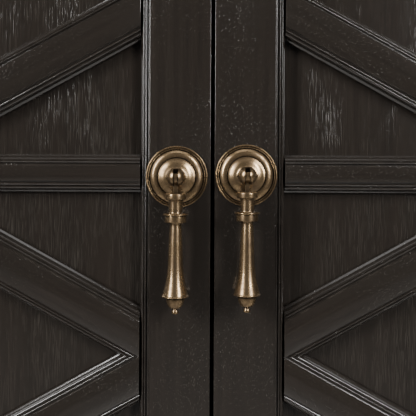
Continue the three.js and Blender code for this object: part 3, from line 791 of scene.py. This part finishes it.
rosetteProfile = smoothLine([
    (0, 0.3), (23.1, 0.3), (23.1, 0.3), (23.25, 0.7), (23.2, 1.5), (22.9, 2.0), (22.4, 2.2), (21.9, 1.9),
    (21.7, 1.4), (21.7, 1.4), (21.4, 1.4), (21.4, 1.4), (21.2, 2.1), (20.9, 2.3), (20.6, 2.1), (20.5, 1.1),
    (20.5, 1.1), (19.8, 1.1), (19.8, 1.1), (19.6, 2.3), (19.6, 2.3), (18.0, 3.4), (16.4, 3.9), (15.2, 4.0),
    (14.7, 3.9), (14.7, 3.9), (14.6, 3.0), (14.6, 3.0), (14.0, 3.0), (14.0, 3.0), (13.8, 4.0), (13.8, 4.0),
    (12.6, 4.4), (11.2, 5.1), (9.8, 5.7), (8.4, 6.1), (7.0, 6.6), (6.0, 7.4), (5.3, 8.6), (5.1, 9.8),
    (5.1, 9.8), (0, 9.8),
], 4)
dropProfile = smoothLine([
    (0, -99.4), (2.1, -99.4), (2.1, -99.4), (2.5, -99.2), (2.6, -98.5), (2.4, -97.3), (1.9, -96.2),
    (1.7, -95.4), (1.7, -95.4), (4.0, -95.2), (4.0, -95.2), (5.1, -94.0), (6.0, -92.0), (6.6, -89.8),
    (6.7, -88.4), (6.7, -88.4), (5.7, -88.2), (5.7, -88.2), (5.7, -87.4), (5.7, -87.4), (9.4, -87.1),
    (9.4, -87.1), (9.95, -86.8), (10.0, -86.2), (9.5, -85.7), (9.5, -85.7), (9.1, -84.6), (8.3, -81.6),
    (7.1, -76.9), (6.15, -71.0), (5.6, -64.5), (5.2, -56.5), (4.95, -49.0), (4.6, -41.0), (4.3, -35.6),
    (4.3, -34.2), (4.6, -33.3), (4.6, -33.3), (7.4, -33.1), (7.4, -33.1), (7.8, -32.8), (7.9, -32.2),
    (7.9, -28.8), (7.8, -28.3), (7.4, -28.1), (7.4, -28.1), (8.9, -27.9), (8.9, -27.9), (9.3, -27.5),
    (9.3, -26.9), (8.9, -26.6), (8.9, -26.6), (5.6, -26.4), (5.6, -26.4), (5.2, -25.8), (5.1, -24.5),
    (5.1, -18.2), (5.25, -17.0), (5.6, -16.6), (5.6, -16.6), (7.0, -16.4), (7.0, -16.4), (7.5, -16.0),
    (7.6, -15.2), (7.6, -12.9), (7.4, -12.2), (6.9, -11.9), (6.9, -11.9), (0, -11.8),
], 4)
pull = {"ball": 7.1, "slot": 3.8, "reach": 3.1, "pin": 1.25, "pinLength": 15.0, "bore": 1.55,
        "tongue": 3.0, "tongueHalf": 2.6, "head": 6.0, "neckEnd": -12.4, "edge": 0.25, "past": 20}
nutProfile = [(0, -0.3), (5.5, -0.3), (5.5, -1.1), (4.6, -1.3), (3.4, -3.6), (0, -4.2)]


def carve(piece, cutters):
    for cutter in cutters:
        piece.modifiers.new(cutter.name, "BOOLEAN").object = cutter
        piece.modifiers[-1].solver = "EXACT"
    bpy.context.view_layer.update()
    result = bpy.data.meshes.new_from_object(piece.evaluated_get(bpy.context.evaluated_depsgraph_get()))
    piece.modifiers.clear()
    piece.data = result
    for cutter in cutters:
        bpy.data.objects.remove(cutter)


def crossPin(bm, centre, radius, length, segments=32):
    turn = Matrix.Translation(centre) @ Matrix.Rotation(quarter, 4, "Y")
    bmesh.ops.create_cone(bm, cap_ends=True, segments=segments, radius1=radius * mm, radius2=radius * mm,
                          depth=length * mm, matrix=turn)


def arc(radius, start, end, steps):
    angles = [start + (end - start) * i / steps for i in range(steps + 1)]
    return [(radius * math.cos(angle), radius * math.sin(angle)) for angle in angles]


def buildPull(label):
    pivot = jointAt[f"pull_{label}_swing"]
    onDoor = Vector((pivot.x, faceY, pivot.z))
    bm = bmesh.new()
    latheInto(bm, rosetteProfile, onDoor, "y", 128)
    plate = meshObject(f"pull_{label}_rosette_turned", bm, 40)
    dress(plate, f"door_{label}", [brass], [f"pull_{label}_rosette"])

    bm = bmesh.new()
    bmesh.ops.create_uvsphere(bm, u_segments=72, v_segments=48, radius=pull["ball"] * mm,
                              matrix=Matrix.Translation(pivot))
    ball = meshObject(f"pull_{label}_ball", bm)
    bm = bmesh.new()
    half = pull["slot"] / 2
    past = pull["past"]
    boxInto(bm, pivot + Vector((-half, -past, -past)) * mm, pivot + Vector((half, pull["reach"], past)) * mm)
    slotCutter = meshObject("slotCutter", bm)
    bm = bmesh.new()
    crossPin(bm, pivot, pull["bore"], 2 * past)
    boreCutter = meshObject("boreCutter", bm)
    carve(ball, [slotCutter, boreCutter])
    smoothAgain(ball)
    dress(ball, f"door_{label}", [brass])

    bm = bmesh.new()
    crossPin(bm, pivot, pull["pin"], pull["pinLength"])
    pin = meshObject(f"pull_{label}_pin_turned", bm)
    addBevel(pin, pull["edge"] * mm)
    dress(pin, f"door_{label}", [brass], [f"pull_{label}_pin"])

    bm = bmesh.new()
    latheInto(bm, dropProfile, pivot, "z", 96)
    drop = meshObject(f"pull_{label}_drop_turned", bm, 40)
    dress(drop, f"pull_{label}", [brass], [f"pull_{label}_drop"])

    bm = bmesh.new()
    # the head is round in front and cut flat on top, so it clears the back of the slot when it lifts
    thick, width, head = pull["tongueHalf"], pull["tongue"] / 2, pull["head"]
    corners = [(-thick, pull["neckEnd"]), (thick, pull["neckEnd"])]
    corners += arc(thick, 0, quarter, 12)
    corners += arc(head, math.pi - math.asin(thick / head), math.pi + math.acos(thick / head), 24)
    sides = [[bm.verts.new(pivot + Vector((x, y, z)) * mm) for y, z in corners] for x in (-width, width)]
    bm.faces.new(sides[0])
    bm.faces.new(sides[1][::-1])
    for i in range(len(corners)):
        bm.faces.new((sides[0][i - 1], sides[1][i - 1], sides[1][i], sides[0][i]))
    bmesh.ops.recalc_face_normals(bm, faces=bm.faces)
    tongue = meshObject(f"pull_{label}_tongue", bm)
    bm = bmesh.new()
    crossPin(bm, pivot, pull["bore"], 2 * past)
    carve(tongue, [meshObject("tongueCutter", bm)])
    addBevel(tongue, pull["edge"] * mm)
    dress(tongue, f"pull_{label}", [brass])

    bm = bmesh.new()
    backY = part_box(f"door_{label}_meeting_stile")[1].y
    latheInto(bm, nutProfile, (pivot.x, backY, pivot.z), "y", 48)
    nut = meshObject(f"pull_{label}_nut", bm, 30)
    dress(nut, f"door_{label}", [brass])


for label in ("left", "right"):
    buildPull(label)
print("pulls built")

# stage, lights and camera

stageValues = {"floor": 9, "colour": (0.72, 0.71, 0.69, 1), "world": (0.80, 0.80, 0.80, 1),
               "shown": 0.62, "lighting": 0.06, "rough": 0.7, "below": 0.5, "aimDrop": 30}
bm = bmesh.new()
bmesh.ops.create_grid(bm, x_segments=1, y_segments=1, size=stageValues["floor"] / 2)
floor = meshObject("floor", bm)
floorPaint = bpy.data.materials.new("floorPaint")
floorPaint.use_nodes = True
floorShader = floorPaint.node_tree.nodes["Principled BSDF"]
floorShader.inputs["Base Color"].default_value = stageValues["colour"]
floorShader.inputs["Roughness"].default_value = stageValues["rough"]
floor.data.materials.append(floorPaint)
floor.location.z = -stageValues["below"] * mm

world = bpy.data.worlds.new("studio")
bpy.context.scene.world = world
world.use_nodes = True
sky = world.node_tree
shownSky = sky.nodes["Background"]
shownSky.inputs["Color"].default_value = stageValues["world"]
shownSky.inputs["Strength"].default_value = stageValues["shown"]
lightSky = addNode(sky, "ShaderNodeBackground", {
    "Color": stageValues["world"], "Strength": stageValues["lighting"],
})
skyRays = addNode(sky, "ShaderNodeLightPath")
skyMix = addNode(sky, "ShaderNodeMixShader", {0: skyRays.outputs["Is Camera Ray"], 1: lightSky.outputs[0],
                                             2: shownSky.outputs[0]})
sky.links.new(skyMix.outputs[0], sky.nodes["World Output"].inputs["Surface"])

target = Vector((0, faceY, jointAt["pull_left_swing"].z - stageValues["aimDrop"] * mm))
# azimuth 0 stands in front of the doors and 90 on their right
lights = [
    {"name": "leftStrip", "azimuth": -52, "elevation": 22, "distance": 2.3, "size": (0.4, 1.5),
     "power": 34, "spread": 100},
    {"name": "rightStrip", "azimuth": 40, "elevation": 22, "distance": 2.3, "size": (0.4, 1.5),
     "power": 28, "spread": 100},
    {"name": "topSoftbox", "azimuth": 0, "elevation": 66, "distance": 2.6, "size": (2.0, 0.7),
     "power": 12, "spread": 180},
    {"name": "backFill", "azimuth": 170, "elevation": 8, "distance": 3.0, "size": (2.4, 1.8),
     "power": 45, "spread": 180},
    {"name": "floorWash", "azimuth": 180, "elevation": 62, "distance": 5.5, "size": (7.0, 3.0),
     "power": 240, "spread": 180},
]
for values in lights:
    data = bpy.data.lights.new(values["name"], "AREA")
    data.shape = "RECTANGLE"
    data.size, data.size_y = values["size"]
    data.energy = values["power"]
    data.spread = math.radians(values["spread"])
    lamp = bpy.data.objects.new(values["name"], data)
    azimuth, elevation = math.radians(values["azimuth"]), math.radians(values["elevation"])
    away = Vector((math.sin(azimuth) * math.cos(elevation), -math.cos(azimuth) * math.cos(elevation),
                   math.sin(elevation)))
    lamp.location = target + away * values["distance"]
    lamp.rotation_euler = (-away).to_track_quat("-Z", "Y").to_euler()
    lamp.visible_camera = False
    collection.objects.link(lamp)

view = {"distance": 0.525, "angle": 33.1, "x": -0.0035, "drop": 0.0233, "rise": 0.033, "roll": 0.28,
        "near": 0.02}
cameraData = bpy.data.cameras.new("closeUp")
cameraData.angle = math.radians(view["angle"])
cameraData.clip_start = view["near"]
frameWidth = 2 * view["distance"] * math.tan(cameraData.angle / 2)
cameraData.shift_y = -view["rise"] / frameWidth
camera = bpy.data.objects.new("closeUp", cameraData)
centreZ = jointAt["pull_left_swing"].z - view["drop"]
camera.location = (view["x"], faceY - view["distance"], centreZ + view["rise"])
camera.rotation_euler = Euler((quarter, 0, 0))
camera.rotation_euler.rotate_axis("Z", math.radians(view["roll"]))
collection.objects.link(camera)
bpy.context.scene.camera = camera
print("stage set")
